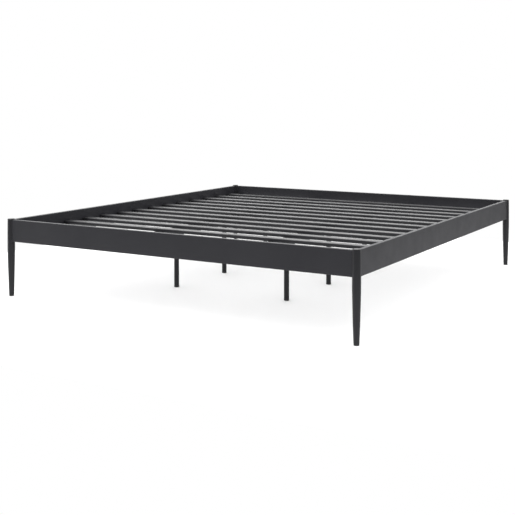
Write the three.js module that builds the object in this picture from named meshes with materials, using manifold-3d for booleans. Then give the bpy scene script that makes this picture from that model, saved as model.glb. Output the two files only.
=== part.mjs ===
// Metal bed frame for a 180 x 200 cm mattress, in millimetres, +Z up.
// The origin is on the floor below the middle of the frame, +X is the sleeper's
// right-hand long side when seen from the foot end, and +Y points to the head end.

import * as THREE from 'three';
import { mergeVertices } from 'three/addons/utils/BufferGeometryUtils.js';
import Module from 'manifold-3d';

const wasm = await Module();
wasm.setup();

// ---------------------------------------------------------------- driving dimensions

const GAP = 0.3;                    // between two pieces that touch

const MATTRESS_WIDTH = 1800;
const MATTRESS_LENGTH = 2000;
const MATTRESS_PLAY = 10;           // from the mattress to each rail
const MATTRESS_RECESS = 45;         // from the rail's top edge down to the slats

const RAIL_TOP = 372;
const RAIL_HEIGHT = 106;
const RAIL_THICKNESS = 20;
const RAIL_WALL = 1.2;
const RAIL_CORNER_RADIUS = 2.5;

const LEG_HEIGHT = 377;             // floor to the crown of the cap
const LEG_FOOT_RADIUS = 11.8;
const LEG_BELLY_RADIUS = 18;
const LEG_TOP_RADIUS = 16.8;
const LEG_BELLY_HEIGHT = 240;       // where the leg is thickest
const LEG_LOWER_POWER = 1.4;        // how fast the leg narrows below its belly
const LEG_UPPER_POWER = 1.6;        // and above it
const LEG_WALL = 2;
const LEG_SEGMENTS = 20;
const LEG_STEPS = 8;

const CAP_EDGE_HEIGHT = 2;
const CAP_CROWN = 1.5;              // how far the cap's middle stands above its edge
const CAP_PLUG_LENGTH = 12;
const GLIDE_HEIGHT = 8;
const GLIDE_ROUNDING = 2.5;
const GLIDE_INSET = 0.5;            // the glide is narrower than the leg by this much
const GLIDE_PLUG_LENGTH = 14;

const BRACKET_HEIGHT = 44;
const BRACKET_THICKNESS = 3;
const BRACKET_ARM = 65;             // from the leg's axis to the end of each arm
const BRACKET_STANDOFF = 13;        // between the leg's belly and the slanted web
const BRACKET_BELOW_SLATS = 5;      // from the slats' top down to the bracket's top
const BOLT_RADIUS = 4;
const BOLT_HOLE_RADIUS = 4.5;
const BOLT_HEAD_RADIUS = 7;
const BOLT_HEAD_HEIGHT = 5;
const BOLT_HEAD_CHAMFER = 1.5;
const BOLT_REACH = 5;               // past the leg's wall, inside the leg
const BOLT_SEGMENTS = 12;

const LEDGE_FLANGE = 30;
const LEDGE_THICKNESS = 2.5;
const LEDGE_END_GAP = 5;            // from a corner bracket's arm to the ledge

const SLAT_COUNT = 14;
const SLAT_WIDTH = 50;
const SLAT_THICKNESS = 16;
const SLAT_WALL = 1;
const SLAT_CORNER_RADIUS = 5;
const SLAT_SIDE_GAP = 4;            // from a slat's end to the side rail
const SLAT_END_MARGIN = 7;          // from the ledge's end to the outermost slat

const BEAM_OFFSET = 320;            // from the bed's middle line to each centre beam
const BEAM_WIDTH = 20;
const BEAM_HEIGHT = 40;
const BEAM_WALL = 1.5;
const BEAM_CORNER_RADIUS = 2;
const BEAM_END_GAP = 2;             // from a beam's end to its hanger's back plate

const HANGER_THICKNESS = 2.5;
const HANGER_PLATE_WIDTH = 80;
const HANGER_DEPTH = 30;            // how far the cradle reaches along the beam
const HANGER_CHEEK_HEIGHT = 30;
const HANGER_PLATE_RISE = 45;       // from the cradle's underside to the plate's top

const SUPPORT_SPACING = 446;        // between the support legs along a beam
const SUPPORT_DIAMETER = 25;
const SUPPORT_WALL = 1.5;
const SUPPORT_PLATE_THICKNESS = 8;
const SUPPORT_PLATE_LENGTH = 64;
const SUPPORT_PLATE_HEIGHT = 34;
const SUPPORT_WELD = 0.8;           // how far the tube is let into its plate
const SUPPORT_LID = 2;
const SUPPORT_NUT_HEIGHT = 14;      // threaded insert in the tube's lower end
const SUPPORT_TOP_GAP = 4;          // from the tube's top to the slats
const SUPPORT_SEGMENTS = 16;

const FOOT_HEIGHT = 9;
const FOOT_ROUNDING = 3;
const FOOT_OVERHANG = 0.5;          // the foot is wider than its tube by this much all round
const FOOT_STEM_RADIUS = 4;
const FOOT_STEM_LENGTH = 34;

// ---------------------------------------------------------------- derived levels and places

const innerWidth = MATTRESS_WIDTH + 2 * MATTRESS_PLAY;
const innerLength = MATTRESS_LENGTH + 2 * MATTRESS_PLAY;
const legX = innerWidth / 2 + RAIL_THICKNESS / 2;
const legY = innerLength / 2 + RAIL_THICKNESS / 2;

const slatTop = RAIL_TOP - MATTRESS_RECESS;
const slatBottom = slatTop - SLAT_THICKNESS;
const bearerTop = slatBottom - GAP;
const beamBottom = bearerTop - BEAM_HEIGHT;

const ledgeHalfLength = legY - BRACKET_ARM - LEDGE_END_GAP;
const beamHalfLength = innerLength / 2 - GAP - HANGER_THICKNESS - BEAM_END_GAP;
const bracketTop = slatTop - BRACKET_BELOW_SLATS;
const bracketBottom = bracketTop - BRACKET_HEIGHT;

// The four corners, each turned so that its two rails run along its own +X and +Y.
const corners = [
  { name: 'foot_left', x: -legX, y: -legY, turn: 0 },
  { name: 'foot_right', x: legX, y: -legY, turn: Math.PI / 2 },
  { name: 'head_right', x: legX, y: legY, turn: Math.PI },
  { name: 'head_left', x: -legX, y: legY, turn: -Math.PI / 2 },
];

// ---------------------------------------------------------------- materials

const blackSteel = new THREE.MeshStandardMaterial({ color: 0x35363a, roughness: 0.42, metalness: 0.35 });
const blackPlastic = new THREE.MeshStandardMaterial({ color: 0x1c1c1e, roughness: 0.6, metalness: 0 });
const blackBolt = new THREE.MeshStandardMaterial({ color: 0x28282b, roughness: 0.35, metalness: 0.8 });

// ---------------------------------------------------------------- solids and geometry

// Makes a solid from closed geometry, so that it can be cut or joined.
function toSolid(geometry) {
  const bare = geometry.clone();
  bare.deleteAttribute('normal');
  bare.deleteAttribute('uv');
  const merged = mergeVertices(bare, 1e-4);
  const source = merged.index.array;
  const kept = [];
  for (let i = 0; i < source.length; i += 3) {
    const [a, b, c] = [source[i], source[i + 1], source[i + 2]];
    if (a !== b && b !== c && c !== a) kept.push(a, b, c);
  }
  const vertProperties = Float32Array.from(merged.attributes.position.array);
  const triVerts = Uint32Array.from(kept);
  return new wasm.Manifold(new wasm.Mesh({ numProp: 3, vertProperties, triVerts }));
}

function toGeometry(solid) {
  const mesh = solid.getMesh();
  const geometry = new THREE.BufferGeometry();
  geometry.setAttribute('position', new THREE.BufferAttribute(Float32Array.from(mesh.vertProperties), 3));
  geometry.setIndex(new THREE.BufferAttribute(Uint32Array.from(mesh.triVerts), 1));
  return geometry;
}

function cut(geometry, ...tools) {
  const solid = tools.reduce((body, tool) => body.subtract(toSolid(tool)), toSolid(geometry));
  return toGeometry(solid);
}

function join(geometry, ...others) {
  const solid = others.reduce((body, other) => body.add(toSolid(other)), toSolid(geometry));
  return toGeometry(solid);
}

// A body turned about the Z axis; the outline's points are [radius, height].
function turned(outline, segments) {
  const points = outline.map(([radius, height]) => new THREE.Vector2(radius, height));
  return new THREE.LatheGeometry(points, segments).rotateX(Math.PI / 2);
}

// A plain box given by its lowest and highest corners.
function block(low, high) {
  const size = high.map((value, axis) => value - low[axis]);
  const middle = high.map((value, axis) => (value + low[axis]) / 2);
  return new THREE.BoxGeometry(...size).translate(...middle);
}

function roundedRectangle(path, width, height, radius) {
  const x = width / 2 - radius;
  const y = height / 2 - radius;
  path.absarc(x, y, radius, 0, Math.PI / 2);
  path.absarc(-x, y, radius, Math.PI / 2, Math.PI);
  path.absarc(-x, -y, radius, Math.PI, Math.PI * 1.5);
  path.absarc(x, -y, radius, Math.PI * 1.5, Math.PI * 2);
  path.closePath();
  return path;
}

// A shape's X and Y become across and up, and it is drawn out along Y, its length centred.
function drawnAlongY(shape, length) {
  const geometry = new THREE.ExtrudeGeometry(shape, { depth: length, bevelEnabled: false, curveSegments: 2 });
  return geometry.translate(0, 0, -length / 2).rotateX(Math.PI / 2);
}

// A rectangular tube with open ends, along Y, its section centred on the axis.
function boxTube(width, height, wall, radius, length) {
  const shape = roundedRectangle(new THREE.Shape(), width, height, radius);
  const bore = roundedRectangle(new THREE.Path(), width - 2 * wall, height - 2 * wall, Math.max(radius - wall, 0.5));
  shape.holes.push(bore);
  return drawnAlongY(shape, length);
}

// ---------------------------------------------------------------- corner legs

function legRadius(height) {
  if (height < LEG_BELLY_HEIGHT) {
    const down = (LEG_BELLY_HEIGHT - height) / LEG_BELLY_HEIGHT;
    return LEG_BELLY_RADIUS - (LEG_BELLY_RADIUS - LEG_FOOT_RADIUS) * down ** LEG_LOWER_POWER;
  }
  const up = (height - LEG_BELLY_HEIGHT) / (LEG_HEIGHT - LEG_BELLY_HEIGHT);
  return LEG_BELLY_RADIUS - (LEG_BELLY_RADIUS - LEG_TOP_RADIUS) * up ** LEG_UPPER_POWER;
}

const legBottom = GLIDE_HEIGHT + GAP;
const legTubeTop = LEG_HEIGHT - CAP_EDGE_HEIGHT - CAP_CROWN - GAP;

// The leg's side from the bottom up, moved outwards by offset.
function legSide(offset) {
  const points = [];
  for (let i = 0; i <= LEG_STEPS; i++) {
    const height = legBottom + (legTubeTop - legBottom) * i / LEG_STEPS;
    points.push([legRadius(height) + offset, height]);
  }
  return points;
}

// The room that the leg takes from the rails: the leg with a gap all round.
function legEnvelope() {
  return turned([[0, legBottom], ...legSide(GAP), [0, legTubeTop]], LEG_SEGMENTS);
}

const boltHeight = (bracketTop + bracketBottom) / 2;
const webDistance = LEG_BELLY_RADIUS + BRACKET_STANDOFF;
const webInside = webDistance + BRACKET_THICKNESS;
const boltTip = legRadius(boltHeight) - LEG_WALL - BOLT_REACH;

// A cylinder on the leg bolt's axis, which runs half-way between the corner's two rails.
function boltHoleTool(from, to) {
  const length = to - from;
  return new THREE.CylinderGeometry(BOLT_HOLE_RADIUS, BOLT_HOLE_RADIUS, length, BOLT_SEGMENTS)
    .rotateZ(-Math.PI / 2)
    .translate(from + length / 2, 0, 0)
    .rotateZ(Math.PI / 4)
    .translate(0, 0, boltHeight);
}

function cornerLeg() {
  const outside = legSide(0);
  const inside = legSide(-LEG_WALL).reverse();
  const tube = turned([...outside, ...inside, outside[0]], LEG_SEGMENTS);
  return cut(tube, boltHoleTool(1, webInside));
}

function legCap() {
  const edge = legRadius(legTubeTop);
  const plug = edge - LEG_WALL - GAP;
  const seat = legTubeTop + GAP;
  return turned([
    [0, seat - CAP_PLUG_LENGTH],
    [plug, seat - CAP_PLUG_LENGTH],
    [plug, seat],
    [edge, seat],
    [edge, seat + CAP_EDGE_HEIGHT],
    [edge * 0.7, LEG_HEIGHT - CAP_CROWN * 0.25],
    [0, LEG_HEIGHT],
  ], LEG_SEGMENTS);
}

function legGlide() {
  const edge = legRadius(GLIDE_HEIGHT) - GLIDE_INSET;
  const plug = legRadius(legBottom) - LEG_WALL - GAP;
  const round = GLIDE_ROUNDING;
  return turned([
    [0, 0],
    [edge - round, 0],
    [edge - round * 0.3, round * 0.3],
    [edge, round],
    [edge, GLIDE_HEIGHT],
    [plug, GLIDE_HEIGHT],
    [plug, GLIDE_HEIGHT + GLIDE_PLUG_LENGTH],
    [0, GLIDE_HEIGHT + GLIDE_PLUG_LENGTH],
  ], LEG_SEGMENTS);
}

// ---------------------------------------------------------------- corner brackets and bolts

// Plan of the bent plate: an arm along each rail and a slanted web facing the leg.
function cornerBracket() {
  const rail = RAIL_THICKNESS / 2 + GAP;
  const bend = webDistance * Math.SQRT2 - rail;
  const back = rail + BRACKET_THICKNESS;
  const backBend = bend + BRACKET_THICKNESS * Math.tan(Math.PI / 8);
  const outline = [
    [BRACKET_ARM, rail], [BRACKET_ARM, back], [backBend, back],
    [back, backBend], [back, BRACKET_ARM], [rail, BRACKET_ARM],
    [rail, bend], [bend, rail],
  ];
  const shape = new THREE.Shape(outline.map(([x, y]) => new THREE.Vector2(x, y)));
  const plate = new THREE.ExtrudeGeometry(shape, { depth: BRACKET_HEIGHT, bevelEnabled: false });
  plate.translate(0, 0, bracketBottom);
  return cut(plate, boltHoleTool(webDistance - 5, webInside + 5));
}

function legBolt() {
  const seat = webInside + GAP;
  const end = seat + BOLT_HEAD_HEIGHT;
  return turned([
    [0, boltTip],
    [BOLT_RADIUS - 1, boltTip],
    [BOLT_RADIUS, boltTip + 1],
    [BOLT_RADIUS, seat],
    [BOLT_HEAD_RADIUS, seat],
    [BOLT_HEAD_RADIUS, end - BOLT_HEAD_CHAMFER],
    [BOLT_HEAD_RADIUS - BOLT_HEAD_CHAMFER, end],
    [0, end],
  ], BOLT_SEGMENTS).rotateY(Math.PI / 2).rotateZ(Math.PI / 4).translate(0, 0, boltHeight);
}

// ---------------------------------------------------------------- rails

const railMiddle = RAIL_TOP - RAIL_HEIGHT / 2;

// What a rail leaves to its neighbour at a corner: all beyond the diagonal, on the bed's side.
// The rail runs from the corner towards +Y if direction is 1, and towards -Y if it is -1.
function mitreTool(direction) {
  const side = RAIL_THICKNESS;
  const slack = GAP / Math.SQRT2;
  const outline = [[0, -side], [side, -side], [side, side + slack], [0, slack]];
  const shape = new THREE.Shape(outline.map(([x, y]) => new THREE.Vector2(x, y * direction)));
  return new THREE.ExtrudeGeometry(shape, { depth: LEG_HEIGHT, bevelEnabled: false });
}

// A rail along Y with the bed on its +X side. It reaches from leg axis to leg axis before its
// ends are cut to fit round the legs and to let the leg bolts pass.
function rail(length) {
  const tube = boxTube(RAIL_THICKNESS, RAIL_HEIGHT, RAIL_WALL, RAIL_CORNER_RADIUS, length);
  tube.translate(0, 0, railMiddle);
  const end = length / 2;
  return cut(
    tube,
    legEnvelope().translate(0, -end, 0),
    legEnvelope().translate(0, end, 0),
    mitreTool(1).translate(0, -end, 0),
    mitreTool(-1).translate(0, end, 0),
    boltHoleTool(1, webInside).translate(0, -end, 0),
    boltHoleTool(1, webInside).rotateZ(-Math.PI / 2).translate(0, end, 0),
  );
}

// ---------------------------------------------------------------- slats and what carries them

// An angle iron: its level flange carries the slats and its upright flange is on the rail.
function slatLedge() {
  const shape = new THREE.Shape([
    new THREE.Vector2(0, 0),
    new THREE.Vector2(-LEDGE_FLANGE, 0),
    new THREE.Vector2(-LEDGE_FLANGE, -LEDGE_THICKNESS),
    new THREE.Vector2(-LEDGE_THICKNESS, -LEDGE_THICKNESS),
    new THREE.Vector2(-LEDGE_THICKNESS, -LEDGE_FLANGE),
    new THREE.Vector2(0, -LEDGE_FLANGE),
  ]);
  return drawnAlongY(shape, 2 * ledgeHalfLength);
}

function slat() {
  const length = innerWidth - 2 * SLAT_SIDE_GAP;
  const tube = boxTube(SLAT_WIDTH, SLAT_THICKNESS, SLAT_WALL, SLAT_CORNER_RADIUS, length);
  return tube.rotateZ(Math.PI / 2).translate(0, 0, slatBottom + SLAT_THICKNESS / 2);
}

function centreBeam() {
  const tube = boxTube(BEAM_WIDTH, BEAM_HEIGHT, BEAM_WALL, BEAM_CORNER_RADIUS, 2 * beamHalfLength);
  return tube.translate(0, 0, beamBottom + BEAM_HEIGHT / 2);
}

// A stirrup: a back plate on the rail and a cradle that the beam's end drops into.
// It faces +Y, with the rail's inner face at Y = 0 and the beam's axis at X = 0.
function beamHanger() {
  const inside = BEAM_WIDTH / 2 + GAP;
  const outside = inside + HANGER_THICKNESS;
  const back = GAP + HANGER_THICKNESS;
  const floorTop = beamBottom - GAP;
  const floorBottom = floorTop - HANGER_THICKNESS;
  const reach = back + HANGER_DEPTH;
  const weld = HANGER_THICKNESS / 2;
  const half = HANGER_PLATE_WIDTH / 2;
  const plate = block([-half, GAP, floorBottom], [half, back, floorBottom + HANGER_PLATE_RISE]);
  const floor = block([-outside, back - weld, floorBottom], [outside, reach, floorTop]);
  const cheekTop = floorTop + HANGER_CHEEK_HEIGHT;
  const leftCheek = block([-outside, back - weld, floorTop - weld], [-inside, reach, cheekTop]);
  const rightCheek = block([inside, back - weld, floorTop - weld], [outside, reach, cheekTop]);
  return join(plate, floor, leftCheek, rightCheek);
}

// ---------------------------------------------------------------- support legs and levelling feet

const supportRadius = SUPPORT_DIAMETER / 2;
const supportBottom = FOOT_HEIGHT + GAP;
const supportTop = slatBottom - SUPPORT_TOP_GAP;
const supportReach = BEAM_WIDTH / 2 + GAP + SUPPORT_PLATE_THICKNESS + supportRadius - SUPPORT_WELD;

// The tube stands on the Z axis with a flat bar on its +X side, which is bolted to the beam.
function supportLeg() {
  const bore = FOOT_STEM_RADIUS + GAP;
  const inner = supportRadius - SUPPORT_WALL;
  const tube = turned([
    [0, supportTop - SUPPORT_LID],
    [inner, supportTop - SUPPORT_LID],
    [inner, supportBottom + SUPPORT_NUT_HEIGHT],
    [bore, supportBottom + SUPPORT_NUT_HEIGHT],
    [bore, supportBottom],
    [supportRadius, supportBottom],
    [supportRadius, supportTop],
    [0, supportTop],
  ], SUPPORT_SEGMENTS);
  const near = supportRadius - SUPPORT_WELD;
  const half = SUPPORT_PLATE_LENGTH / 2;
  const plateTop = supportTop - 1;
  const plate = block(
    [near, -half, plateTop - SUPPORT_PLATE_HEIGHT],
    [near + SUPPORT_PLATE_THICKNESS, half, plateTop],
  );
  return join(tube, plate);
}

function levellingFoot() {
  const edge = supportRadius + FOOT_OVERHANG;
  const round = FOOT_ROUNDING;
  return turned([
    [0, 0],
    [edge - round, 0],
    [edge - round * 0.3, round * 0.3],
    [edge, round],
    [edge, FOOT_HEIGHT],
    [FOOT_STEM_RADIUS, FOOT_HEIGHT],
    [FOOT_STEM_RADIUS, FOOT_HEIGHT + FOOT_STEM_LENGTH],
    [0, FOOT_HEIGHT + FOOT_STEM_LENGTH],
  ], SUPPORT_SEGMENTS);
}

// ---------------------------------------------------------------- assembly

const bedFrame = new THREE.Group();

function add(parent, name, geometry, material) {
  const mesh = new THREE.Mesh(geometry, material);
  mesh.name = name;
  parent.add(mesh);
  return mesh;
}

for (const corner of corners) {
  const group = new THREE.Group();
  group.position.set(corner.x, corner.y, 0);
  group.rotation.z = corner.turn;
  add(group, `corner_leg_${corner.name}`, cornerLeg(), blackSteel);
  add(group, `leg_cap_${corner.name}`, legCap(), blackPlastic);
  add(group, `leg_glide_${corner.name}`, legGlide(), blackPlastic);
  add(group, `corner_bracket_${corner.name}`, cornerBracket(), blackSteel);
  add(group, `leg_bolt_${corner.name}`, legBolt(), blackBolt);
  bedFrame.add(group);
}

const rails = [
  { name: 'foot_rail', length: 2 * legX, x: 0, y: -legY, turn: Math.PI / 2 },
  { name: 'head_rail', length: 2 * legX, x: 0, y: legY, turn: -Math.PI / 2 },
  { name: 'side_rail_left', length: 2 * legY, x: -legX, y: 0, turn: 0 },
  { name: 'side_rail_right', length: 2 * legY, x: legX, y: 0, turn: Math.PI },
];
for (const { name, length, x, y, turn } of rails) {
  const mesh = add(bedFrame, name, rail(length), blackSteel);
  mesh.position.set(x, y, 0);
  mesh.rotation.z = turn;
}

for (const [name, side] of [['left', -1], ['right', 1]]) {
  const ledge = add(bedFrame, `slat_ledge_${name}`, slatLedge(), blackSteel);
  ledge.position.set(side * (innerWidth / 2 - GAP), 0, bearerTop);
  ledge.rotation.z = side < 0 ? Math.PI : 0;

  const beamX = side * BEAM_OFFSET;
  add(bedFrame, `centre_beam_${name}`, centreBeam(), blackSteel).position.x = beamX;

  for (const [end, away] of [['foot', -1], ['head', 1]]) {
    const hanger = add(bedFrame, `beam_hanger_${end}_${name}`, beamHanger(), blackSteel);
    hanger.position.set(beamX, away * innerLength / 2, 0);
    hanger.rotation.z = away < 0 ? 0 : Math.PI;
  }

  // Every support leg is the same piece, so all six stand on the same side of their beam.
  for (const row of [1, 2, 3]) {
    const support = new THREE.Group();
    support.position.set(beamX - supportReach, (row - 2) * SUPPORT_SPACING, 0);
    add(support, `support_leg_${name}_${row}`, supportLeg(), blackSteel);
    add(support, `levelling_foot_${name}_${row}`, levellingFoot(), blackPlastic);
    bedFrame.add(support);
  }
}

const lastSlatY = ledgeHalfLength - SLAT_END_MARGIN - SLAT_WIDTH / 2;
const slatPitch = 2 * lastSlatY / (SLAT_COUNT - 1);
for (let i = 0; i < SLAT_COUNT; i++) {
  const name = `slat_${String(i + 1).padStart(2, '0')}`;
  add(bedFrame, name, slat(), blackSteel).position.y = -lastSlatY + i * slatPitch;
}

export default bedFrame;
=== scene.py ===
"""Metal bed frame: the visual model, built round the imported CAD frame, in metres."""

import math

import bpy
import bmesh
from mathutils import Matrix, Vector


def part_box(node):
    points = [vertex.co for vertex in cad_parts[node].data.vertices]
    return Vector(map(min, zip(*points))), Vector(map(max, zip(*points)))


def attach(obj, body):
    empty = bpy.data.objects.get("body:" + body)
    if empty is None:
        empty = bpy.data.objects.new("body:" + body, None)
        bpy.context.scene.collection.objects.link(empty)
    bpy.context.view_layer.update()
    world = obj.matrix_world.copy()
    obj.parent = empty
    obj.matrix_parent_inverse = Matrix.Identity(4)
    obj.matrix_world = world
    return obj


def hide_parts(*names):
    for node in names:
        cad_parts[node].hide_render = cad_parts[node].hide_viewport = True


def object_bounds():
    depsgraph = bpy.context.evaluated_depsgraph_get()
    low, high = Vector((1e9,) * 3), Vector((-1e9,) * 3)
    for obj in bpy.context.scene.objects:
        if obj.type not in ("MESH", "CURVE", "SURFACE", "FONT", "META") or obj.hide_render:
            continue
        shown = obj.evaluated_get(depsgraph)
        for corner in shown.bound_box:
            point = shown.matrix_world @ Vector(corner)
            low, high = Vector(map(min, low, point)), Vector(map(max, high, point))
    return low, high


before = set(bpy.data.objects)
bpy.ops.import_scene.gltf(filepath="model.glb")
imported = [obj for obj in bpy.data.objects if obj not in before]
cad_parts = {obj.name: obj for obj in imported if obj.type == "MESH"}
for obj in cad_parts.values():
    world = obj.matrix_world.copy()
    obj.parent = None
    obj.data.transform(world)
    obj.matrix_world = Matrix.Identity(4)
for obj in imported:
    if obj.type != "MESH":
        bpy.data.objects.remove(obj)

cad_low, cad_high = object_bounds()

MM = 0.001
GAP = 0.3 * MM                      # between two pieces that touch
CORNERS = {"foot_left": 0, "foot_right": 90, "head_right": 180, "head_left": 270}
SIDES = ("left", "right")
ENDS = {"foot": 0, "head": 180}
ROWS = (1, 2, 3)
SLAT_NUMBERS = range(1, 15)
SHARP_ANGLE = math.radians(32)
AROUND = 96                         # segments round a leg


# ---------------------------------------------------------------- places

def middle(node):
    """The middle of a CAD node's box."""
    low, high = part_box(node)
    return (low + high) / 2


def at(x=0.0, y=0.0, z=0.0, turn=0.0):
    """A place in the bed's axes, turned by some degrees about +Z."""
    return Matrix.Translation((x, y, z)) @ Matrix.Rotation(math.radians(turn), 4, "Z")


def facing(place, direction):
    """A place whose local +Z points along a direction."""
    return Matrix.Translation(place) @ Vector(direction).to_track_quat("Z", "Y").to_matrix().to_4x4()


# ---------------------------------------------------------------- outlines

def filleted(points, steps=6, closed=True):
    """Rounds the corners of an outline. Each point is (x, y) or (x, y, radius)."""
    made = []
    count = len(points)
    for i, point in enumerate(points):
        corner = Vector(point[:2])
        radius = point[2] if len(point) > 2 else 0
        if radius <= 0 or (not closed and i in (0, count - 1)):
            made.append(corner)
            continue
        back = (Vector(points[i - 1][:2]) - corner).normalized()
        ahead = (Vector(points[(i + 1) % count][:2]) - corner).normalized()
        half = back.angle(ahead) / 2
        centre = corner + (back + ahead).normalized() * radius / math.sin(half)
        first = corner + back * radius / math.tan(half) - centre
        last = corner + ahead * radius / math.tan(half) - centre
        sweep = first.angle_signed(last)
        for k in range(steps + 1):
            arm = first.copy()
            arm.rotate(Matrix.Rotation(-sweep * k / steps, 2))
            made.append(centre + arm)
    return made


def rounded_box(width, height, radius, steps=6):
    """The outline of a box section about its own middle, counter-clockwise."""
    w, h = width / 2, height / 2
    return filleted([(w, h, radius), (-w, h, radius), (-w, -h, radius), (w, -h, radius)], steps)


def divided(outline, longest):
    """The same closed outline with no side longer than a given length."""
    made = []
    for i, point in enumerate(outline):
        ahead = outline[(i + 1) % len(outline)]
        parts = max(1, math.ceil((ahead - point).length / longest))
        made += [point.lerp(ahead, k / parts) for k in range(parts)]
    return made


def hexagon(across):
    """A six-sided radius for turned_mesh, given its size across flats."""
    sixth = math.pi / 3
    return lambda angle: across / 2 / math.cos(angle % sixth - sixth / 2)


def scalloped(radius, count, depth):
    """A radius for turned_mesh with shallow grip flutes round it."""
    return lambda angle: radius - depth * (0.5 + 0.5 * math.cos(count * angle)) ** 2


# ---------------------------------------------------------------- meshes

def make_mesh(name, vertices, faces, place=None):
    """A mesh with its faces pointing out, smooth except across sharp angles."""
    mesh = bpy.data.meshes.new(name)
    mesh.from_pydata([tuple(v) for v in vertices], [], faces)
    if place is not None:
        mesh.transform(place)
    bm = bmesh.new()
    bm.from_mesh(mesh)
    bmesh.ops.remove_doubles(bm, verts=bm.verts, dist=1e-7)
    bmesh.ops.recalc_face_normals(bm, faces=bm.faces)
    bm.to_mesh(mesh)
    bm.free()
    mesh.polygons.foreach_set("use_smooth", [True] * len(mesh.polygons))
    mesh.set_sharp_from_angle(angle=SHARP_ANGLE)
    mesh.update()
    return mesh


def joined_mesh(name, parts):
    """One mesh made of copies of others. The parts are (mesh, place)."""
    bm = bmesh.new()
    for mesh, place in parts:
        moved = mesh.copy()
        moved.transform(place)
        bm.from_mesh(moved)
        bpy.data.meshes.remove(moved)
    made = bpy.data.meshes.new(name)
    bm.to_mesh(made)
    bm.free()
    return made


def cut_mesh(mesh, cutter):
    """The mesh less what lies inside the cutter."""
    body = bpy.data.objects.new("body_to_cut", mesh)
    tool = bpy.data.objects.new("cutter", cutter)
    for thing in (body, tool):
        bpy.context.scene.collection.objects.link(thing)
    cut = body.modifiers.new("cut", "BOOLEAN")
    cut.operation, cut.solver, cut.object = "DIFFERENCE", "EXACT", tool
    bpy.context.view_layer.update()
    made = bpy.data.meshes.new_from_object(body.evaluated_get(bpy.context.evaluated_depsgraph_get()))
    for thing in (body, tool):
        bpy.data.objects.remove(thing)
    made.set_sharp_from_angle(angle=SHARP_ANGLE)
    return made


def add_piece(name, mesh, material, body="frame", replaces=(), place=None, edge=0.0):
    """Puts a mesh in the scene as a piece that rides on a body. edge rounds its sharp edges."""
    piece = bpy.data.objects.new(name, mesh)
    bpy.context.scene.collection.objects.link(piece)
    if place is not None:
        piece.matrix_world = place
    if not mesh.materials:
        mesh.materials.append(material)
    if edge:
        rounding = piece.modifiers.new("edge_rounding", "BEVEL")
        rounding.width, rounding.segments = edge, 2
        rounding.limit_method, rounding.angle_limit = "ANGLE", math.radians(50)
    flats = piece.modifiers.new("even_flats", "WEIGHTED_NORMAL")
    flats.keep_sharp = True
    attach(piece, body)
    if replaces:
        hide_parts(*replaces)
    return piece


def turned_mesh(name, outline, segments=48, closed=False, place=None):
    """A body turned about local Z. The outline's points are (radius, height).

    A radius is a number or a function of the angle, such as hexagon().
    """
    vertices, rings = [], []
    for radius, height in outline:
        if radius == 0:
            rings.append([len(vertices)] * segments)
            vertices.append((0, 0, height))
            continue
        rings.append(list(range(len(vertices), len(vertices) + segments)))
        for k in range(segments):
            angle = 2 * math.pi * k / segments
            r = radius(angle) if callable(radius) else radius
            vertices.append((r * math.cos(angle), r * math.sin(angle), height))
    pairs = list(zip(rings, rings[1:]))
    if closed:
        pairs.append((rings[-1], rings[0]))
    faces = []
    for low, high in pairs:
        for k in range(segments):
            n = (k + 1) % segments
            face = list(dict.fromkeys([low[k], low[n], high[n], high[k]]))
            if len(face) > 2:
                faces.append(face)
    return make_mesh(name, vertices, faces, place)


def bridged(a, b):
    """The faces between two loops of as many vertices."""
    count = len(a)
    return [[a[k], a[(k + 1) % count], b[(k + 1) % count], b[k]] for k in range(count)]


def drawn_mesh(name, outer, inner, start, end, place=None):
    """A section drawn out along local X; start and end give a section point's X there.

    The section's points are (across, up). With an inner outline it is an open-ended tube.
    """
    vertices, loops = [], []
    for outline in (outer, inner) if inner else (outer,):
        for reach in (start, end):
            loops.append(list(range(len(vertices), len(vertices) + len(outline))))
            vertices += [(reach(p), p.x, p.y) for p in outline]
    faces = bridged(loops[0], loops[1])
    if inner:
        faces += bridged(loops[3], loops[2]) + bridged(loops[2], loops[0]) + bridged(loops[1], loops[3])
    else:
        faces += [loops[0][::-1], loops[1]]
    return make_mesh(name, vertices, faces, place)


def square(x):
    """A square-cut end, for drawn_mesh."""
    return lambda point: x


def lofted_mesh(name, rings, place=None):
    """A solid through several outlines of as many points, each at its own local X."""
    vertices, loops = [], []
    for outline, x in rings:
        loops.append(list(range(len(vertices), len(vertices) + len(outline))))
        vertices += [(x, p.x, p.y) for p in outline]
    faces = [loops[0][::-1], loops[-1]]
    for a, b in zip(loops, loops[1:]):
        faces += bridged(a, b)
    return make_mesh(name, vertices, faces, place)


def plate_mesh(name, near, far, low, high, corner, steps=6):
    """A flat or bent plate, seen from above as a strip between its near and far sides.

    The sides are lists of as many points. It stands from low to high, its four corners rounded.
    """
    stations = []
    for tip, beside, order in (((near[0], far[0]), (near[1], far[1]), 1),
                               ((near[-1], far[-1]), (near[-2], far[-2]), -1)):
        side_length = (beside[0] - tip[0]).length
        group = []
        for k in range(steps + 1):
            angle = math.pi / 2 * k / steps
            share = corner * (1 - math.cos(angle)) / side_length
            inset = corner * (1 - math.sin(angle))
            group.append((tip[0].lerp(beside[0], share), tip[1].lerp(beside[1], share), inset))
        stations.append(group[::order])
    between = [(a, b, 0.0) for a, b in zip(near[1:-1], far[1:-1])]
    vertices, loops = [], []
    for a, b, inset in stations[0] + between + stations[1]:
        start = len(vertices)
        loops.append([start, start + 1, start + 2, start + 3])
        vertices += [(*a, low + inset), (*b, low + inset), (*b, high - inset), (*a, high - inset)]
    faces = [loops[0][::-1], loops[-1]]
    for a, b in zip(loops, loops[1:]):
        faces += bridged(a, b)
    return make_mesh(name, vertices, faces)


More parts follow.
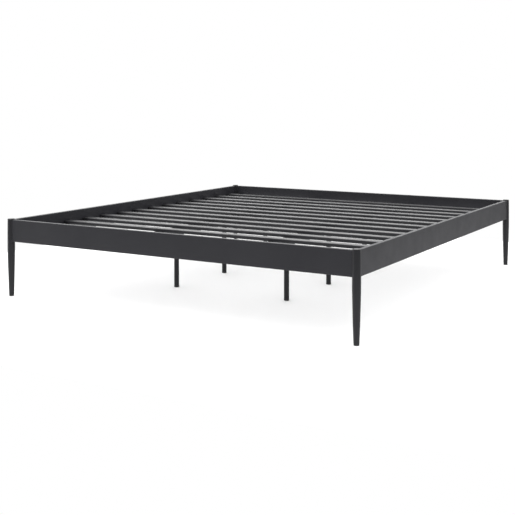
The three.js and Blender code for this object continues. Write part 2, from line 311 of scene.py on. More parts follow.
def weld_mesh(name, start, end, radius, ripple=1.6 * MM):
    """A weld bead between two points: a rod with the ripples that a weld leaves."""
    start, end = Vector(start), Vector(end)
    length = (end - start).length
    count = max(12, round(length / ripple * 6))
    outline = [(0, 0)]
    for k in range(count + 1):
        along = length * k / count
        from_end = min(along, length - along, radius)
        taper = math.sqrt(max(0.0, 1 - (1 - from_end / radius) ** 2))
        ripples = 1 + 0.09 * math.cos(2 * math.pi * along / ripple)
        outline.append((max(radius * taper * ripples, 0.05 * MM), along))
    outline.append((0, length))
    return turned_mesh(name, outline, 14, place=facing(start, end - start))


def thread_mesh(name, radius, low, high, pitch=1.25 * MM, segments=24, rows_per_turn=8):
    """A threaded rod along local Z."""
    depth = pitch * 0.55
    rows = round((high - low) / pitch * rows_per_turn)
    vertices = [(0, 0, low)]
    for i in range(rows + 1):
        z = low + (high - low) * i / rows
        for k in range(segments):
            turn = (z / pitch - k / segments) % 1
            end_taper = min(1.0, (high - z) / pitch + 0.3)
            r = radius - depth * (1 - end_taper) - depth * (1 - abs(2 * turn - 1)) * end_taper
            angle = 2 * math.pi * k / segments
            vertices.append((r * math.cos(angle), r * math.sin(angle), z))
    vertices.append((0, 0, high))
    loops = [[1 + i * segments + k for k in range(segments)] for i in range(rows + 1)]
    faces = []
    for a, b in zip(loops, loops[1:]):
        faces += bridged(a, b)
    last = len(vertices) - 1
    for k in range(segments):
        n = (k + 1) % segments
        faces += [[0, loops[0][n], loops[0][k]], [last, loops[-1][k], loops[-1][n]]]
    return make_mesh(name, vertices, faces)


# ---------------------------------------------------------------- fasteners
# Each has its seat at local Z = 0, its head above and its shank below.

def button_screw(name, radius, height, socket, shank_radius, shank_length, washer=0.0):
    """A button-head screw with a hexagon socket, on a washer of the given thickness."""
    rim = socket * 0.72
    base = washer + 0.5 * MM
    outline = [(0, -shank_length), (shank_radius, -shank_length), (shank_radius, 0)]
    if washer:
        outline += [(radius * 1.25, 0), (radius * 1.25, washer)]
    outline += [(radius, washer), (radius, base)]
    for k in range(1, 9):
        angle = math.pi / 2 * k / 8
        outline.append((rim + (radius - rim) * math.cos(angle), base + (height - base) * math.sin(angle)))
    depth = (height - washer) * 0.55
    outline += [(hexagon(socket), height - 0.15 * MM), (hexagon(socket), height - depth)]
    outline.append((0, height - depth * 1.1))
    return turned_mesh(name, outline, 48)


def hex_end(across, low, high):
    """The stretch of an outline that makes a bolt's head or a nut, its upper corners chamfered."""
    flat_radius = across / 2
    chamfer = across * 0.06
    return [(hexagon(across), low), (hexagon(across), high - chamfer), (flat_radius * 0.97, high)]


def through_bolt(name, across, head, washer, grip, nut, tail, radius):
    """A bolt with its head and washer above Z = 0 and its washer and nut below -grip."""
    under = -grip - washer
    end = under - nut - tail
    lower = [(0, end), (radius * 0.8, end), (radius, end + radius * 0.2), (radius, under - nut)]
    nut_side = [(r, under - nut + (under - z)) for r, z in reversed(hex_end(across, under - nut, under))]
    washers = [(across * 0.62, under), (across * 0.62, -grip), (radius, -grip), (radius, 0),
               (across * 0.62, 0), (across * 0.62, washer)]
    outline = lower + nut_side + washers + hex_end(across, washer, washer + head) + [(0, washer + head)]
    return turned_mesh(name, outline, 48)


# ---------------------------------------------------------------- materials

def node_tree(name):
    """A new material, its node tree, its shader and the piece's own coordinates."""
    material = bpy.data.materials.new(name)
    material.use_nodes = True
    tree = material.node_tree
    coordinates = tree.nodes.new("ShaderNodeTexCoord").outputs["Object"]
    return material, tree, tree.nodes["Principled BSDF"], coordinates


def noise(tree, coordinates, scale, detail=3.0, roughness=0.5):
    node = tree.nodes.new("ShaderNodeTexNoise")
    node.inputs["Scale"].default_value = scale
    node.inputs["Detail"].default_value = detail
    node.inputs["Roughness"].default_value = roughness
    tree.links.new(coordinates, node.inputs["Vector"])
    return node.outputs["Fac"]


def ramp(tree, value, low, high, start, end):
    """Maps a value between start and end onto two colours or two numbers."""
    node = tree.nodes.new("ShaderNodeValToRGB")
    stops = node.color_ramp.elements
    stops[0].position, stops[1].position = start, end
    stops[0].color = (*low, 1) if hasattr(low, "__len__") else (low, low, low, 1)
    stops[1].color = (*high, 1) if hasattr(high, "__len__") else (high, high, high, 1)
    tree.links.new(value, node.inputs["Fac"])
    return node.outputs["Color"]


def multiplied(tree, a, b):
    node = tree.nodes.new("ShaderNodeMix")
    node.data_type, node.blend_type = "RGBA", "MULTIPLY"
    node.inputs["Factor"].default_value = 1.0
    tree.links.new(a, node.inputs[6])
    tree.links.new(b, node.inputs[7])
    return node.outputs[2]


def bumps(tree, height, strength, distance, below=None):
    node = tree.nodes.new("ShaderNodeBump")
    node.inputs["Strength"].default_value = strength
    node.inputs["Distance"].default_value = distance
    tree.links.new(height, node.inputs["Height"])
    if below is not None:
        tree.links.new(below, node.inputs["Normal"])
    return node.outputs["Normal"]


def powder_coat(name, dark, light, rough):
    """Black powder coat: slow changes of tone, a fine speckle and an orange-peel surface."""
    material, tree, shader, coordinates = node_tree(name)
    tone = ramp(tree, noise(tree, coordinates, scale=3.5, detail=4), dark, light, 0.3, 0.7)
    speckle = ramp(tree, noise(tree, coordinates, scale=1300, detail=1), 0.78, 1.22, 0.35, 0.65)
    tree.links.new(multiplied(tree, tone, speckle), shader.inputs["Base Color"])
    patches = noise(tree, coordinates, scale=11, detail=5, roughness=0.6)
    gloss = ramp(tree, patches, rough - 0.03, rough + 0.04, 0.3, 0.7)
    tree.links.new(gloss, shader.inputs["Roughness"])
    peel = bumps(tree, noise(tree, coordinates, scale=420, detail=2), 0.35, 0.06 * MM)
    grain = bumps(tree, noise(tree, coordinates, scale=1500, detail=1), 0.3, 0.02 * MM, below=peel)
    tree.links.new(grain, shader.inputs["Normal"])
    shader.inputs["IOR"].default_value = 1.40
    return material


def moulded_plastic(name, dark, light, rough):
    """Black polyamide with a spark-eroded grain."""
    material, tree, shader, coordinates = node_tree(name)
    tone = ramp(tree, noise(tree, coordinates, scale=60, detail=3), dark, light, 0.3, 0.7)
    tree.links.new(tone, shader.inputs["Base Color"])
    grain = noise(tree, coordinates, scale=2200, detail=2)
    tree.links.new(ramp(tree, grain, rough - 0.06, rough + 0.06, 0.3, 0.7), shader.inputs["Roughness"])
    tree.links.new(bumps(tree, grain, 0.4, 0.03 * MM), shader.inputs["Normal"])
    shader.inputs["IOR"].default_value = 1.49
    return material


def black_zinc(name):
    """Blackened zinc plate, a little brighter in patches."""
    material, tree, shader, coordinates = node_tree(name)
    patches = noise(tree, coordinates, scale=300, detail=4, roughness=0.6)
    tone = ramp(tree, patches, (0.03, 0.03, 0.033), (0.09, 0.09, 0.095), 0.35, 0.75)
    tree.links.new(tone, shader.inputs["Base Color"])
    tree.links.new(ramp(tree, patches, 0.42, 0.26, 0.3, 0.7), shader.inputs["Roughness"])
    grain = bumps(tree, noise(tree, coordinates, scale=2500, detail=1), 0.2, 0.02 * MM)
    tree.links.new(grain, shader.inputs["Normal"])
    shader.inputs["Metallic"].default_value = 1.0
    return material


RAIL_COAT = powder_coat("rail_coat", (0.0145, 0.0145, 0.0185), (0.0185, 0.0185, 0.0225), 0.54)
LEG_COAT = powder_coat("leg_coat", (0.0085, 0.0085, 0.0110), (0.0105, 0.0105, 0.0130), 0.50)
BRACKET_COAT = powder_coat("bracket_coat", (0.009, 0.009, 0.011), (0.013, 0.013, 0.015), 0.46)
SLAT_COAT = powder_coat("slat_coat", (0.0105, 0.0105, 0.0125), (0.014, 0.014, 0.0165), 0.46)
PLASTIC = moulded_plastic("black_plastic", (0.007, 0.007, 0.008), (0.0105, 0.0105, 0.0115), 0.5)
ZINC = black_zinc("black_zinc")


# ---------------------------------------------------------------- corner legs

LEG_HEIGHT = cad_high.z
LEG_FOOT_RADIUS = 11.8 * MM
LEG_BELLY_RADIUS = 18 * MM
LEG_TOP_RADIUS = 16.8 * MM
LEG_BELLY_HEIGHT = 240 * MM
LEG_LOWER_POWER = 1.4
LEG_UPPER_POWER = 1.6
LEG_WALL = 2 * MM
LEG_RINGS = 36

BRACKET_THICKNESS = 3 * MM
BRACKET_ARM = 65 * MM
BRACKET_STANDOFF = 13 * MM
BRACKET_BEND = 3 * MM

rail_low, rail_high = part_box("side_rail_left")
rail_thickness = rail_high.x - rail_low.x
bracket_low, bracket_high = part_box("corner_bracket_foot_left")
bolt_height = (bracket_low.z + bracket_high.z) / 2
web_distance = LEG_BELLY_RADIUS + BRACKET_STANDOFF
DIAGONAL = Vector((1, 1, 0)).normalized()


def leg_radius(height):
    if height < LEG_BELLY_HEIGHT:
        down = (LEG_BELLY_HEIGHT - height) / LEG_BELLY_HEIGHT
        return LEG_BELLY_RADIUS - (LEG_BELLY_RADIUS - LEG_FOOT_RADIUS) * down ** LEG_LOWER_POWER
    up = min(1.0, (height - LEG_BELLY_HEIGHT) / (LEG_HEIGHT - LEG_BELLY_HEIGHT))
    return LEG_BELLY_RADIUS - (LEG_BELLY_RADIUS - LEG_TOP_RADIUS) * up ** LEG_UPPER_POWER


def leg_mesh():
    """The leg's tube, with the threaded boss that the leg bolt screws into."""
    low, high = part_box("corner_leg_foot_left")
    heights = [low.z + (high.z - low.z) * i / LEG_RINGS for i in range(LEG_RINGS + 1)]
    outside = [(leg_radius(h), h) for h in heights]
    inside = [(leg_radius(h) - LEG_WALL, h) for h in reversed(heights)]
    tube = turned_mesh("leg_tube", outside + inside, AROUND, closed=True)
    seat = leg_radius(bolt_height)
    boss_radius = 7 * MM
    boss = turned_mesh("leg_boss", filleted([
        (0, -3 * MM), (boss_radius, -3 * MM), (boss_radius, 1.2 * MM, 0.6 * MM), (0, 1.2 * MM),
    ], 4, closed=False), 48, place=facing(DIAGONAL * seat + Vector((0, 0, bolt_height)), DIAGONAL))
    return joined_mesh("corner_leg", [(tube, at()), (boss, at())])


def cap_mesh():
    low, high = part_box("leg_cap_foot_left")
    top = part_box("corner_leg_foot_left")[1].z
    rim, seat = leg_radius(top), top + GAP
    plug = rim - LEG_WALL - GAP
    return turned_mesh("leg_cap", filleted([
        (0, low.z),
        (plug, low.z, 0.6 * MM),
        (plug, seat),
        (rim, seat, 0.3 * MM),
        (rim, seat + 2.4 * MM, 1.1 * MM),
        (rim * 0.62, high.z - 0.35 * MM, 6 * MM),
        (0, high.z),
    ], 6, closed=False), AROUND)


def glide_mesh():
    low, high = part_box("leg_glide_foot_left")
    tube_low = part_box("corner_leg_foot_left")[0].z
    rim, seat = (high.x - low.x) / 2, tube_low - GAP
    plug = leg_radius(tube_low) - LEG_WALL - GAP
    hollow = 0.8 * MM
    return turned_mesh("leg_glide", filleted([
        (0, hollow),
        (rim * 0.45, hollow, 0.3 * MM),
        (rim * 0.52, 0, 0.3 * MM),
        (rim, 0, 2.5 * MM),
        (rim, seat, 0.4 * MM),
        (plug, seat),
        (plug, high.z, 0.8 * MM),
        (0, high.z),
    ], 6, closed=False), AROUND)


def bracket_mesh():
    """The corner's bent plate: an arm along each rail and a slanted web facing the leg."""
    rail = rail_thickness / 2 + GAP
    back = rail + BRACKET_THICKNESS
    bend = web_distance * math.sqrt(2) - rail
    back_bend = bend + BRACKET_THICKNESS * math.tan(math.pi / 8)
    outer_bend = BRACKET_BEND + BRACKET_THICKNESS
    near = filleted([
        (BRACKET_ARM, rail), (bend, rail, outer_bend), (rail, bend, outer_bend), (rail, BRACKET_ARM),
    ], 6, closed=False)
    far = filleted([
        (BRACKET_ARM, back), (back_bend, back, BRACKET_BEND),
        (back, back_bend, BRACKET_BEND), (back, BRACKET_ARM),
    ], 6, closed=False)
    return plate_mesh("corner_bracket", near, far, bracket_low.z, bracket_high.z, 7 * MM)


def leg_bolt_mesh():
    """The screw through the web into the leg, its thread showing between them."""
    seat = web_distance + BRACKET_THICKNESS
    head = button_screw("leg_bolt_head", 7 * MM, 5.3 * MM, 5 * MM, 3.9 * MM, 4 * MM, washer=1.4 * MM)
    thread = thread_mesh("leg_bolt_thread", 4 * MM, -23 * MM, -3.5 * MM)
    place = facing(DIAGONAL * seat + Vector((0, 0, bolt_height)), DIAGONAL)
    return joined_mesh("leg_bolt", [(head, place), (thread, place)])


def bracket_screws_mesh():
    """Two screws through each arm of a bracket into its rail."""
    screw = button_screw("bracket_screw", 5.25 * MM, 3.3 * MM, 4 * MM, 3 * MM, 12 * MM)
    face = rail_thickness / 2 + GAP + BRACKET_THICKNESS
    along = BRACKET_ARM - 14 * MM
    places = []
    for up in (-12 * MM, 12 * MM):
        places.append(facing((along, face, bolt_height + up), (0, 1, 0)))
        places.append(facing((face, along, bolt_height + up), (1, 0, 0)))
    return joined_mesh("bracket_screws", [(screw, place) for place in places])


leg, cap, glide = leg_mesh(), cap_mesh(), glide_mesh()
bracket, leg_bolt, bracket_screws = bracket_mesh(), leg_bolt_mesh(), bracket_screws_mesh()
for corner, turn in CORNERS.items():
    axis = middle(f"corner_leg_{corner}")
    here = at(axis.x, axis.y, 0, turn)
    add_piece(f"leg_tube_{corner}", leg, LEG_COAT, replaces=[f"corner_leg_{corner}"], place=here)
    add_piece(f"leg_top_cap_{corner}", cap, PLASTIC,
              replaces=[f"leg_cap_{corner}"], place=here)
    add_piece(f"leg_floor_glide_{corner}", glide, PLASTIC,
              replaces=[f"leg_glide_{corner}"], place=here)
    add_piece(f"bent_bracket_{corner}", bracket, BRACKET_COAT,
              replaces=[f"corner_bracket_{corner}"], place=here, edge=0.4 * MM)
    add_piece(f"leg_screw_{corner}", leg_bolt, ZINC,
              replaces=[f"leg_bolt_{corner}"], place=here)
    add_piece(f"bracket_screws_{corner}", bracket_screws, ZINC, place=here)


# ---------------------------------------------------------------- rails

RAIL_WALL = 1.2 * MM
RAIL_CORNER_RADIUS = 2.5 * MM
BOLT_HOLE_RADIUS = 4.5 * MM

rail_height = rail_high.z - rail_low.z
rail_middle = (rail_high.z + rail_low.z) / 2


def rail_mesh(name, leg_distance):
    """A rail between two leg axes, its ends shaped to the legs, the bed on its local +Y side."""
    outer = divided(rounded_box(rail_thickness, rail_height, RAIL_CORNER_RADIUS), 6 * MM)
    inner_x = 1 - 2 * RAIL_WALL / rail_thickness
    inner_y = 1 - 2 * RAIL_WALL / rail_height
    inner = [Vector((p.x * inner_x, p.y * inner_y)) for p in outer]

    def reach(point):
        around = leg_radius(rail_middle + point.y) + GAP
        return leg_distance / 2 - math.sqrt(around ** 2 - point.x ** 2)

    tube = drawn_mesh(name, outer, inner, lambda p: -reach(p), reach)
    drill = []
    for end in (-1, 1):
        hole = turned_mesh("bolt_hole", [
            (0, 0), (BOLT_HOLE_RADIUS, 0), (BOLT_HOLE_RADIUS, web_distance), (0, web_distance),
        ], 32, place=facing((end * leg_distance / 2, 0, bolt_height - rail_middle), (-end, 1, 0)))
        drill.append((hole, at()))
    return cut_mesh(tube, joined_mesh("bolt_holes", drill))


foot_left = middle("corner_leg_foot_left")
cross_rail = rail_mesh("cross_rail", middle("corner_leg_foot_right").x - foot_left.x)
side_rail = rail_mesh("side_rail", middle("corner_leg_head_left").y - foot_left.y)
for node, mesh, turn in (("foot_rail", cross_rail, 0), ("head_rail", cross_rail, 180),
                         ("side_rail_left", side_rail, 270), ("side_rail_right", side_rail, 90)):
    place = middle(node)
    add_piece(f"{node}_tube", mesh, RAIL_COAT, replaces=[node],
              place=at(place.x, place.y, rail_middle, turn))


# ---------------------------------------------------------------- slats

SLAT_WALL = 1 * MM
SLAT_CORNER_RADIUS = 5 * MM
SLAT_SCREW_INSET = 12 * MM          # from the slat's end

slat_low, slat_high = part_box("slat_01")
slat_width, slat_thickness = slat_high.y - slat_low.y, slat_high.z - slat_low.z
slat_half = slat_high.x
slat_middle = (slat_high.z + slat_low.z) / 2
slat_ys = [middle(f"slat_{number:02d}").y for number in SLAT_NUMBERS]


def slat_section(inset):
    radius = max(SLAT_CORNER_RADIUS - inset, 0.5 * MM)
    return rounded_box(slat_width - 2 * inset, slat_thickness - 2 * inset, radius, 8)


def slat_cap_mesh():
    """A plastic plug: a flange over the tube's end, its outer edge rounded, and a spigot inside."""
    flange, spigot, round_off = 2.5 * MM, 12 * MM, 1.2 * MM
    in_tube = slat_section(SLAT_WALL + 0.3 * MM)
    rings = [
        (slat_section(SLAT_WALL + 0.9 * MM), -spigot),
        (in_tube, -spigot + 1.5 * MM),
        (in_tube, 0.05 * MM),
        (slat_section(0.1 * MM), 0.05 * MM),
    ]
    for k in range(5):
        angle = math.pi / 2 * k / 4
        rings.append((slat_section(0.1 * MM + round_off * (1 - math.cos(angle))),
                      flange - round_off * (1 - math.sin(angle))))
    return lofted_mesh("slat_cap", rings)


def slat_screw_mesh(ledge_low):
    """A low round-headed screw through the slat and its ledge, with a nut below."""
    head, radius, shank, across = 1.8 * MM, 5.5 * MM, 2.5 * MM, 8 * MM
    nut_top = ledge_low - slat_high.z
    nut_low = nut_top - 4 * MM
    outline = [(0, nut_low - 1.5 * MM), (shank, nut_low - 1.5 * MM), (shank, nut_low)]
    outline += [(r, nut_low + nut_top - z) for r, z in reversed(hex_end(across, nut_low, nut_top))]
    outline += [(shank, nut_top), (shank, 0), (radius, 0)]
    for k in range(1, 8):
        angle = math.pi / 2 * k / 8
        outline.append((radius * math.cos(angle), head * math.sin(angle)))
    return turned_mesh("slat_screw", outline + [(0, head)], 48)


slat = drawn_mesh("slat", slat_section(0), slat_section(SLAT_WALL), square(-slat_half), square(slat_half))
for number, y in zip(SLAT_NUMBERS, slat_ys):
    add_piece(f"slat_tube_{number:02d}", slat, SLAT_COAT, replaces=[f"slat_{number:02d}"],
              place=at(0, y, slat_middle))

ledge_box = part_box("slat_ledge_right")
LEDGE_THICKNESS = 2.5 * MM
slat_cap = slat_cap_mesh()
slat_screw = slat_screw_mesh(ledge_box[1].z - LEDGE_THICKNESS)
for side, sign in (("left", -1), ("right", 1)):
    caps = [(slat_cap, at(sign * slat_half, y, slat_middle, 0 if sign > 0 else 180)) for y in slat_ys]
    add_piece(f"slat_end_caps_{side}", joined_mesh("slat_caps", caps), PLASTIC)
    screws = [(slat_screw, at(sign * (slat_half - SLAT_SCREW_INSET), y, slat_high.z)) for y in slat_ys]
    add_piece(f"slat_screws_{side}", joined_mesh("slat_screws", screws), ZINC)


# ---------------------------------------------------------------- slat ledges

LEDGE_SCREWS = 5
LEDGE_BEND = 1.5 * MM


def ledge_mesh():
    """An angle iron along local X: its upright flange on the rail at local Y = 0, the bed towards +Y."""
    low, high = ledge_box
    flange, thickness, length = high.z - low.z, LEDGE_THICKNESS, high.y - low.y
    section = filleted([
        (0, 0, LEDGE_BEND + thickness), (flange, 0), (flange, -thickness),
        (thickness, -thickness, LEDGE_BEND), (thickness, -flange), (0, -flange),
    ], 6)
    return drawn_mesh("slat_ledge", section, None, square(-length / 2), square(length / 2))


def ledge_screws_mesh():
    low, high = ledge_box
    screw = button_screw("ledge_screw", 5.25 * MM, 3.3 * MM, 4 * MM, 3 * MM, 10 * MM)
    spacing = (high.y - low.y) / LEDGE_SCREWS
    places = []
    for i in range(LEDGE_SCREWS):
        x = spacing * (i - (LEDGE_SCREWS - 1) / 2)
        places.append(facing((x, LEDGE_THICKNESS, -0.58 * (high.z - low.z)), (0, 1, 0)))
    return joined_mesh("ledge_screws", [(screw, place) for place in places])


ledge, ledge_screws = ledge_mesh(), ledge_screws_mesh()
for side, turn in (("left", 270), ("right", 90)):
    low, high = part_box(f"slat_ledge_{side}")
    here = at(low.x if side == "left" else high.x, 0, high.z, turn)
    add_piece(f"angle_ledge_{side}", ledge, BRACKET_COAT,
              replaces=[f"slat_ledge_{side}"], place=here, edge=0.35 * MM)
    add_piece(f"ledge_screws_{side}", ledge_screws, ZINC, place=here)


# ---------------------------------------------------------------- centre beams and their hangers

BEAM_WALL = 1.5 * MM
BEAM_CORNER_RADIUS = 2 * MM
HANGER_THICKNESS = 2.5 * MM
HANGER_CHEEK_HEIGHT = 30 * MM

beam_low, beam_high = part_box("centre_beam_left")
beam_width, beam_height = beam_high.x - beam_low.x, beam_high.z - beam_low.z
beam_middle = (beam_high.z + beam_low.z) / 2
hanger_low, hanger_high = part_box("beam_hanger_foot_left")


def beam_mesh():
    outer = rounded_box(beam_width, beam_height, BEAM_CORNER_RADIUS)
    inner = rounded_box(beam_width - 2 * BEAM_WALL, beam_height - 2 * BEAM_WALL,
                        BEAM_CORNER_RADIUS - BEAM_WALL)
    return drawn_mesh("centre_beam", outer, inner, square(beam_low.y), square(beam_high.y))


def hanger_mesh():
    """A stirrup that faces local +Y: a back plate on the rail and a cradle for the beam's end."""
    half = (hanger_high.x - hanger_low.x) / 2
    back = GAP + HANGER_THICKNESS
    reach = hanger_high.y - hanger_low.y + GAP
    plate = plate_mesh("hanger_plate", [Vector((-half, GAP)), Vector((half, GAP))],
                       [Vector((-half, back)), Vector((half, back))], hanger_low.z, hanger_high.z, 6 * MM)
    inside = beam_width / 2 + GAP
    outside = inside + HANGER_THICKNESS
    floor_top = hanger_low.z + HANGER_THICKNESS
    cheek_top = floor_top + HANGER_CHEEK_HEIGHT
    bend = 1.5 * MM
    section = filleted([
        (-outside, cheek_top), (-outside, hanger_low.z, bend + HANGER_THICKNESS),
        (outside, hanger_low.z, bend + HANGER_THICKNESS), (outside, cheek_top),
        (inside, cheek_top), (inside, floor_top, bend), (-inside, floor_top, bend), (-inside, cheek_top),
    ], 6)
    cradle = drawn_mesh("hanger_cradle", [Vector((-p.x, p.y)) for p in section], None,
                        square(back - 1 * MM), square(reach))
    welds = []
    for sign in (-1, 1):
        start = (sign * (outside + 0.4 * MM), back + 0.4 * MM, hanger_low.z + 4 * MM)
        end = (sign * (outside + 0.4 * MM), back + 0.4 * MM, cheek_top)
        welds.append((weld_mesh("hanger_weld", start, end, 1.9 * MM), at()))
    return joined_mesh("beam_hanger", [(plate, at()), (cradle, at(turn=90))] + welds)


def hanger_screws_mesh():
    """Two screws through the back plate, and a bolt through the cradle and the beam."""
    screw = button_screw("hanger_screw", 6 * MM, 3.3 * MM, 4 * MM, 3 * MM, 12 * MM)
    back = GAP + HANGER_THICKNESS
    height = (hanger_low.z + hanger_high.z) / 2
    parts = [(screw, facing((x, back, height), (0, 1, 0))) for x in (-27 * MM, 27 * MM)]
    grip = beam_width + 2 * GAP + 2 * HANGER_THICKNESS
    bolt = through_bolt("cradle_bolt", 10 * MM, 4 * MM, 1.2 * MM, grip, 5 * MM, 2 * MM, 3 * MM)
    parts.append((bolt, facing((grip / 2, back + 18 * MM, hanger_low.z + 18 * MM), (1, 0, 0))))
    return joined_mesh("hanger_screws", parts)


beam, hanger, hanger_screws = beam_mesh(), hanger_mesh(), hanger_screws_mesh()
for side in SIDES:
    beam_x = middle(f"centre_beam_{side}").x
    add_piece(f"beam_tube_{side}", beam, BRACKET_COAT, replaces=[f"centre_beam_{side}"],
              place=at(beam_x, 0, beam_middle, 90))
    for end, turn in ENDS.items():
        low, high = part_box(f"beam_hanger_{end}_{side}")
        rail_face = low.y - GAP if end == "foot" else high.y + GAP
        here = at(beam_x, rail_face, 0, turn)
        add_piece(f"hanger_stirrup_{end}_{side}", hanger, BRACKET_COAT,
                  replaces=[f"beam_hanger_{end}_{side}"], place=here, edge=0.35 * MM)
        add_piece(f"hanger_screws_{end}_{side}", hanger_screws, ZINC, place=here)


# ---------------------------------------------------------------- support legs and levelling feet

SUPPORT_RADIUS = 12.5 * MM
SUPPORT_WALL = 1.5 * MM
SUPPORT_PLATE_THICKNESS = 8 * MM
SUPPORT_PLATE_HEIGHT = 34 * MM
SUPPORT_WELD = 0.8 * MM
SUPPORT_NUT_HEIGHT = 14 * MM
SUPPORT_LID = 2 * MM
SUPPORT_BOLT_SPREAD = 22 * MM
STEM_RADIUS = 4 * MM

support_low, support_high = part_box("support_leg_left_1")
foot_low, foot_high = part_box("levelling_foot_left_1")
plate_half = (support_high.y - support_low.y) / 2
plate_near = SUPPORT_RADIUS - SUPPORT_WELD
plate_far = plate_near + SUPPORT_PLATE_THICKNESS
plate_high = support_high.z - 1 * MM
plate_low = plate_high - SUPPORT_PLATE_HEIGHT
stem_high = foot_high.z
pad_high = support_low.z - GAP


def support_mesh():
    """The tube on local Z with a thick flat bar welded to its +X side."""
    bore, inner = STEM_RADIUS + GAP, SUPPORT_RADIUS - SUPPORT_WALL
    tube_top = support_high.z - SUPPORT_LID - GAP
    nut_top = support_low.z + SUPPORT_NUT_HEIGHT
    tube = turned_mesh("support_tube", filleted([
        (bore, support_low.z, 0.4 * MM), (SUPPORT_RADIUS, support_low.z, 0.6 * MM),
        (SUPPORT_RADIUS, tube_top, 0.3 * MM), (inner, tube_top, 0.3 * MM), (inner, nut_top), (bore, nut_top),
    ], 4), 64, closed=True)
    plate = plate_mesh("support_plate", [Vector((plate_near, -plate_half)), Vector((plate_near, plate_half))],
                       [Vector((plate_far, -plate_half)), Vector((plate_far, plate_half))],
                       plate_low, plate_high, 5 * MM)
    parts = [(tube, at()), (plate, at())]
    for sign in (-1, 1):
        foot = (plate_near - 0.6 * MM, sign * 5.6 * MM)
        bead = weld_mesh("support_weld", (*foot, plate_low + 2 * MM), (*foot, plate_high - 2 * MM), 2.1 * MM)
        parts.append((bead, at()))
    return joined_mesh("support_leg", parts)


def support_plug_mesh():
    """The plastic plug in the tube's top."""
    inner = SUPPORT_RADIUS - SUPPORT_WALL - GAP
    seat = support_high.z - SUPPORT_LID
    return turned_mesh("support_plug", filleted([
        (0, seat - 9 * MM), (inner - 0.6 * MM, seat - 9 * MM, 0.4 * MM),
        (inner, seat - 7 * MM), (inner, seat),
        (SUPPORT_RADIUS, seat), (SUPPORT_RADIUS, support_high.z, 1.2 * MM), (0, support_high.z),
    ], 5, closed=False), 64)


def support_bolts_mesh():
    """Two bolts through the flat bar and the beam, with nuts on the beam's far side."""
    grip = SUPPORT_PLATE_THICKNESS + GAP + beam_width
    bolt = through_bolt("support_bolt", 13 * MM, 5.3 * MM, 1.6 * MM, grip, 6.5 * MM, 2.5 * MM, 4 * MM)
    height = (plate_low + plate_high) / 2
    parts = []
    for y in (-SUPPORT_BOLT_SPREAD, SUPPORT_BOLT_SPREAD):
        parts.append((bolt, facing((plate_near, y, height), (-1, 0, 0))))
    return joined_mesh("support_bolts", parts)


def foot_pad_mesh():
    """The plastic foot, fluted round its side so that fingers can turn it."""
    radius = (foot_high.x - foot_low.x) / 2
    grip = scalloped(radius, 24, 0.45 * MM)
    hollow = 0.8 * MM
    outline = filleted([(0, hollow), (radius * 0.55, hollow, 0.3 * MM), (radius * 0.6, 0, 0.3 * MM),
                        (radius, 0, 3 * MM), (radius, 3.4 * MM)], 6, closed=False)
    upper = [(grip, 3.8 * MM), (grip, pad_high - 1.2 * MM)]
    upper += filleted([(radius, pad_high - 1.0 * MM), (radius, pad_high, 0.6 * MM), (STEM_RADIUS, pad_high)],
                      4, closed=False)
    return turned_mesh("foot_pad", outline + upper + [(0, pad_high)], 192)


support, support_plug, support_bolts = support_mesh(), support_plug_mesh(), support_bolts_mesh()
foot_pad = foot_pad_mesh()
foot_stem = thread_mesh("foot_stem", STEM_RADIUS, pad_high - 1 * MM, stem_high)
for side in SIDES:
    for row in ROWS:
        foot = middle(f"levelling_foot_{side}_{row}")
        here = at(foot.x, foot.y)
        add_piece(f"support_tube_{side}_{row}", support, LEG_COAT,
                  replaces=[f"support_leg_{side}_{row}"], place=here, edge=0.4 * MM)
        add_piece(f"support_plug_{side}_{row}", support_plug, PLASTIC, place=here)
        add_piece(f"support_bolts_{side}_{row}", support_bolts, ZINC, place=here)
        add_piece(f"foot_pad_{side}_{row}", foot_pad, PLASTIC, f"foot_{side}_{row}",
                  replaces=[f"levelling_foot_{side}_{row}"], place=here)
        add_piece(f"foot_stem_{side}_{row}", foot_stem, ZINC, f"foot_{side}_{row}", place=here)


# ---------------------------------------------------------------- stage, light and camera

FLOOR_HALF = 1.9                    # metres


def studio_floor():
    half = FLOOR_HALF
    mesh = make_mesh("studio_floor", [(-half, -half, 0), (half, -half, 0), (half, half, 0), (-half, half, 0)],
                     [[0, 1, 2, 3]])
    material, tree, shader, coordinates = node_tree("studio_floor")
    tone = ramp(tree, noise(tree, coordinates, scale=0.7, detail=2), 0.92, 0.94, 0.3, 0.7)
    tree.links.new(tone, shader.inputs["Base Color"])
    shader.inputs["Roughness"].default_value = 0.9
    shader.inputs["Specular IOR Level"].default_value = 0.1
    mesh.materials.append(material)
    made = bpy.data.objects.new("studio_floor", mesh)
    bpy.context.scene.collection.objects.link(made)
    return made


studio_floor()


ZENITH_LIGHT = 2.00                 # overhead
BACKDROP_LIGHT = 3.00               # low down, behind the bed and to its left
LOW_LIGHT = 0.30                    # low down all round otherwise
BACKDROP_WAY = Vector((-0.8, 0.6, 0.0))


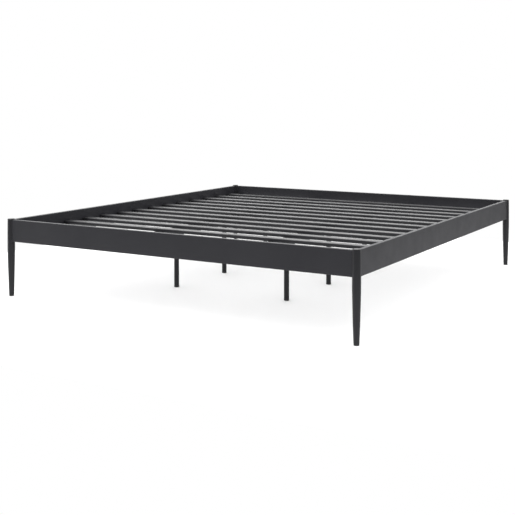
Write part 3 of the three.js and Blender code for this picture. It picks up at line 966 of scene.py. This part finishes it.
def studio_world():
    """A white studio, brightest overhead, with a lit backdrop. The camera sees plain white."""
    made = bpy.data.worlds.new("studio")
    made.use_nodes = True
    tree = made.node_tree
    links = tree.links
    way = tree.nodes.new("ShaderNodeTexCoord").outputs["Generated"]
    towards = tree.nodes.new("ShaderNodeVectorMath")
    towards.operation = "DOT_PRODUCT"
    towards.inputs[1].default_value = BACKDROP_WAY / 2
    links.new(way, towards.inputs[0])
    share = tree.nodes.new("ShaderNodeMath")
    share.inputs[1].default_value = 0.5
    links.new(towards.outputs["Value"], share.inputs[0])
    low = ramp(tree, share.outputs["Value"], LOW_LIGHT, BACKDROP_LIGHT, 0.64, 0.92)
    parts = tree.nodes.new("ShaderNodeSeparateXYZ")
    links.new(way, parts.inputs["Vector"])
    height = ramp(tree, parts.outputs["Z"], 0.0, 1.0, 0.12, 0.75)
    lit = tree.nodes.new("ShaderNodeMix")
    lit.data_type = "RGBA"
    links.new(height, lit.inputs["Factor"])
    links.new(low, lit.inputs[6])
    lit.inputs[7].default_value = (ZENITH_LIGHT, ZENITH_LIGHT, ZENITH_LIGHT, 1)
    seen = tree.nodes.new("ShaderNodeLightPath").outputs["Is Camera Ray"]
    chosen = tree.nodes.new("ShaderNodeMix")
    chosen.data_type = "RGBA"
    links.new(seen, chosen.inputs["Factor"])
    links.new(lit.outputs[2], chosen.inputs[6])
    chosen.inputs[7].default_value = (1, 1, 1, 1)
    links.new(chosen.outputs[2], tree.nodes["Background"].inputs["Color"])
    return made


bpy.context.scene.world = studio_world()

CAMERA_PLACE = (2.442, -4.314, 0.959)
CAMERA_YAW = math.radians(29.925)   # to the left of +Y
CAMERA_PITCH = math.radians(1.539)  # downwards
CAMERA_LENS = 65.49


def aimed_camera():
    """The camera. Its shift keeps the uprights near vertical with the bed high in the frame."""
    data = bpy.data.cameras.new("camera")
    data.lens = CAMERA_LENS
    data.shift_x, data.shift_y = -0.03, -0.26
    aim = Vector((-math.sin(CAMERA_YAW) * math.cos(CAMERA_PITCH),
                  math.cos(CAMERA_YAW) * math.cos(CAMERA_PITCH),
                  -math.sin(CAMERA_PITCH)))
    made = bpy.data.objects.new("camera", data)
    bpy.context.scene.collection.objects.link(made)
    made.matrix_world = facing(CAMERA_PLACE, -aim)
    return made


bpy.context.scene.camera = aimed_camera()
bpy.context.scene.view_settings.view_transform = "Standard"
